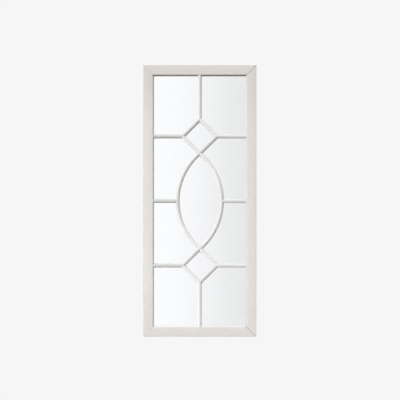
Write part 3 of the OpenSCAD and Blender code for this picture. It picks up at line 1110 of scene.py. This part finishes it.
@dataclass
class Studio:
    """The camera, the light, the background and the floor.

    Picture is the width that the camera sees at the frame's front. The soft light has a level for
    each side that it comes from, and each span gives the places along Y of its direction between
    which one level turns into the next: front to side, side to rear, and none to straight behind.
    The shade is a dark stretch of the room, low on the right: its span is how near a direction
    has to be to it, and it fades out straight ahead and behind the mirror. What the glass mirrors
    is a room in even steps, each with its place from left to right.
    """

    distance: float = 3.0
    picture: float = 1.7664
    front: float = -0.024
    shift: tuple[float, float] = (0.00058, 0.0024)
    key_from: tuple[float, float, float] = (-0.7, -0.65, 0.3)
    key_strength: float = 1.6
    key_softness: float = math.radians(30)
    key_colour: tuple[float, float, float] = (1.0, 0.99, 0.975)
    soft_colour: Colour = tone(250, 250, 252)
    front_light: float = 0.81
    side_light: float = 1.5
    rear_light: float = 0.5
    back_light: float = 1.35
    front_to_side: Span = (-0.95, -0.35)
    side_to_rear: Span = (0.0, 0.2)
    none_to_back: Span = (0.4, 0.9)
    shade_to: tuple[float, float, float] = (0.34, 0.0, -0.94)
    shade_near: Span = (0.25, 0.5)
    shade_across: Span = (0.05, 0.3)
    shade_rear: Span = (-0.05, 0.3)
    room_gain: float = 5.0
    room_least_ahead: float = 0.05
    room: tuple[tuple[float, Colour], ...] = (
        (0.25, tone(252, 254, 255)), (0.43, tone(248, 250, 252)), (0.53, tone(245, 246, 247)),
        (0.64, tone(240, 242, 242)), (0.83, tone(232, 235, 233)),
    )
    floor_drop: float = -1.25
    floor_radius: float = 1.3
    floor_sides: int = 96
    backdrop: Colour = tone(246, 246, 246)

    def camera(self) -> None:
        """Places the camera level with the middle of the mirror."""
        data = bpy.data.cameras.new("camera")
        data.lens = data.sensor_width * self.distance / self.picture
        data.shift_x, data.shift_y = self.shift
        camera = bpy.data.objects.new("camera", data)
        camera.location = (0.0, self.front - self.distance, 0.0)
        camera.rotation_euler = (math.pi / 2, 0.0, 0.0)
        bpy.context.collection.objects.link(camera)
        bpy.context.scene.camera = camera

    def lamp(self) -> None:
        """Hangs the soft key light, up on the left."""
        data = bpy.data.lights.new("key", "SUN")
        data.energy = self.key_strength
        data.angle = self.key_softness
        data.color = self.key_colour
        lamp = bpy.data.objects.new("key", data)
        lamp.rotation_mode = "QUATERNION"
        lamp.rotation_quaternion = Vector(self.key_from).to_track_quat("Z", "Y")
        bpy.context.collection.objects.link(lamp)

    def mirrored_room(self, hand: Nodes, heading: Source) -> bpy.types.NodeSocket:
        """Makes what the glass mirrors.

        Args:
            hand: The hand on the world's nodes.
            heading: The direction that is looked in.

        Returns:
            The room's colour.
        """
        parts = hand.parts(heading)
        ahead = hand.math("MAXIMUM", hand.math("ABSOLUTE", parts["Y"]), self.room_least_ahead)
        side = hand.math("DIVIDE", parts["X"], ahead)
        place = hand.math("MULTIPLY_ADD", side, self.room_gain, 0.5, clamp=True)
        ramp = hand.add("ShaderNodeValToRGB", {0: place})
        stops = ramp.color_ramp.elements
        for stop, (position, colour) in zip(stops, (self.room[0], self.room[-1])):
            stop.position, stop.color = position, colour
        for position, colour in self.room[1:-1]:
            stops.new(position).color = colour
        return ramp.outputs["Color"]

    def soft_light(self, hand: Nodes, heading: Source) -> bpy.types.NodeSocket:
        """Makes the soft light's strength.

        Args:
            hand: The hand on the world's nodes.
            heading: The direction that the light comes from.

        Returns:
            The strength.
        """
        deep = hand.parts(heading)["Y"]
        front = hand.spread(deep, self.front_to_side, (self.front_light, self.side_light))
        rear = hand.spread(deep, self.side_to_rear, (self.side_light, self.rear_light))
        back = hand.spread(deep, self.none_to_back, (0.0, self.back_light))
        level = hand.math("MAXIMUM", hand.math("MINIMUM", front, rear), back)
        across = hand.vector("LENGTH", hand.vector("MULTIPLY", heading, (1.0, 0.0, 1.0)))
        near = hand.math("DIVIDE", hand.vector("DOT_PRODUCT", heading, self.shade_to), across)
        shade = hand.math(
            "MULTIPLY", hand.spread(near, self.shade_near), hand.spread(across, self.shade_across)
        )
        shade = hand.math("MULTIPLY", shade, hand.spread(deep, self.shade_rear, (1.0, 0.0)))
        return hand.math("MULTIPLY", level, hand.math("SUBTRACT", 1.0, shade))

    def world(self) -> None:
        """Makes the world: a pale backdrop, the room that the glass shows, and the soft light."""
        world = bpy.data.worlds.new("studio")
        world.use_nodes = True
        world.node_tree.nodes.clear()
        hand = Nodes(world.node_tree)
        rays = hand.add("ShaderNodeLightPath").outputs
        heading = hand.add("ShaderNodeTexCoord").outputs["Generated"]
        backdrop = hand.background(self.backdrop, 1.0)
        room = hand.background(self.mirrored_room(hand, heading), 1.0)
        light = hand.background(self.soft_colour, self.soft_light(hand, heading))
        straight = hand.math("SUBTRACT", rays["Is Glossy Ray"], rays["Diffuse Depth"], clamp=True)
        lit = hand.mix(straight, light, room)
        seen = hand.math("MAXIMUM", rays["Is Camera Ray"], rays["Is Transmission Ray"])
        hand.add("ShaderNodeOutputWorld", {"Surface": hand.mix(seen, lit, backdrop)})
        bpy.context.scene.world = world

    def floor(self) -> None:
        """Lays a pale round floor below the mirror, which fades into the backdrop."""
        shape = bmesh.new()
        bmesh.ops.create_circle(
            shape, cap_ends=True, radius=self.floor_radius, segments=self.floor_sides,
            matrix=Matrix.Translation((0, 0, self.floor_drop)),
        )
        mesh = bpy.data.meshes.new("floor")
        shape.to_mesh(mesh)
        shape.free()
        finish = FadingFloor("Studio floor", self.backdrop, self.floor_radius)
        mesh.materials.append(finish.material())
        piece = bpy.data.objects.new("floor", mesh)
        bpy.context.collection.objects.link(piece)

    def build(self) -> None:
        """Sets the stage and the view."""
        self.camera()
        self.lamp()
        self.world()
        self.floor()
        bpy.context.scene.view_settings.view_transform = "Standard"
        LOG.info("studio: camera, key light, world and floor")


def main() -> None:
    """Builds the studio and the mirror's sub-assemblies in order."""
    logging.basicConfig(level=logging.INFO, format="%(message)s")
    for part in (Studio(), TimberFrame(), GlazedPanel(), BackFittings()):
        part.build()


if __name__ == "__main__":
    main()
